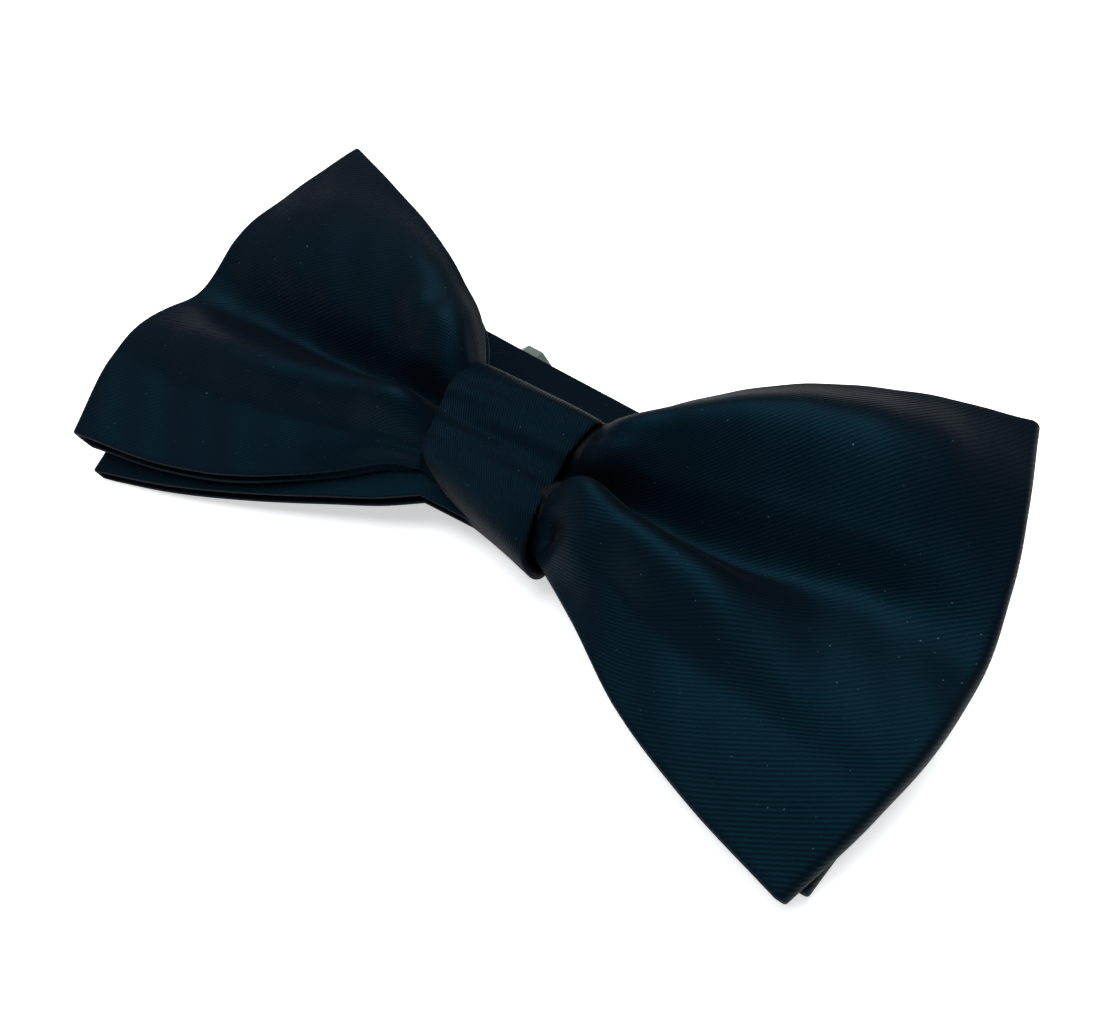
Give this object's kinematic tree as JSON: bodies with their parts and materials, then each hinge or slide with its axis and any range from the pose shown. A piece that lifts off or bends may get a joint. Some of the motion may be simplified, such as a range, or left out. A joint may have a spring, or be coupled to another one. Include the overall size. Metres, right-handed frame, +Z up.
{
  "type": "bow tie",
  "caption": "Pre-tied black satin bow tie with a double bow, a wrapped knot and an adjustable neck band with a slide, hook and eye, folded flat behind it.",
  "frame": {"origin": "centre of the footprint, on the surface the bow tie lies on", "axes": "+X along the bow, +Y towards the wings' upper edge, +Z up out of the bow's face"},
  "size_m": [0.127, 0.0669, 0.027],
  "materials": {
    "satin": "fine twill-faced black satin with a soft sheen",
    "band_satin": "black satin band, pressed flat",
    "interlining": "brushed off-white interlining",
    "thread": "black polyester sewing thread",
    "slide_plastic": "smoke grey moulded nylon",
    "black_metal": "black enamelled steel"
  },
  "bodies": {
    "bow": {"front_bow_satin": "satin", "front_bow_interlining": "interlining", "back_bow_satin": "satin", "back_bow_interlining": "interlining", "knot_wrap": "satin", "knot_interlining": "interlining", "knot_seam_stitches": "thread", "gathering_thread": "thread", "band_run_a": "band_satin", "eye_tab_stitches": "thread", "band_fold_1": "band_satin"},
    "run_b": {"band_run_b": "band_satin", "band_fold_2": "band_satin"},
    "run_c": {"band_run_c": "band_satin", "band_fold_3": "band_satin"},
    "run_d": {"band_run_d": "band_satin", "band_return": "band_satin"},
    "slide": {"slider": "slide_plastic", "band_end_loop": "band_satin", "slider_loop_stitches": "thread"},
    "hook": {"hook": "black_metal"},
    "eye": {"eye": "black_metal"}
  },
  "joints": [
    {"name": "fold_b", "type": "hinge", "parent": "run_b", "child": "bow", "pos_m": [0.05586, 0.01109, 0.0057], "axis": [0.0698, 0.9976, 0], "range_deg": [0, 90], "deforming": ["band_fold_1"]},
    {"name": "fold_c", "type": "hinge", "parent": "run_b", "child": "run_c", "pos_m": [-0.05586, 0.01891, 0.0049], "axis": [0.0698, 0.9976, 0], "range_deg": [0, 180], "deforming": ["band_fold_2"]},
    {"name": "fold_d", "type": "hinge", "parent": "run_c", "child": "run_d", "pos_m": [0.05586, 0.01109, 0.0024], "axis": [-0.0698, -0.9976, 0], "range_deg": [0, 180], "deforming": ["band_fold_3"]},
    {"name": "slider_slide", "type": "slide", "parent": "run_d", "child": "slide", "axis": [-0.9976, 0.0698, 0], "range_m": [0, 0.018], "deforming": ["band_return"]},
    {"name": "hook_pivot", "type": "hinge", "parent": "run_d", "child": "hook", "pos_m": [-0.04439, 0.0181, 0.0025], "axis": [-0.0698, -0.9976, 0], "range_deg": [0, 90]},
    {"name": "eye_pivot", "type": "hinge", "parent": "bow", "child": "eye", "pos_m": [-0.0158, 0.00023, 0.00639], "axis": [0, -0.9563, -0.2924], "range_deg": [-12, 16]}
  ]
}
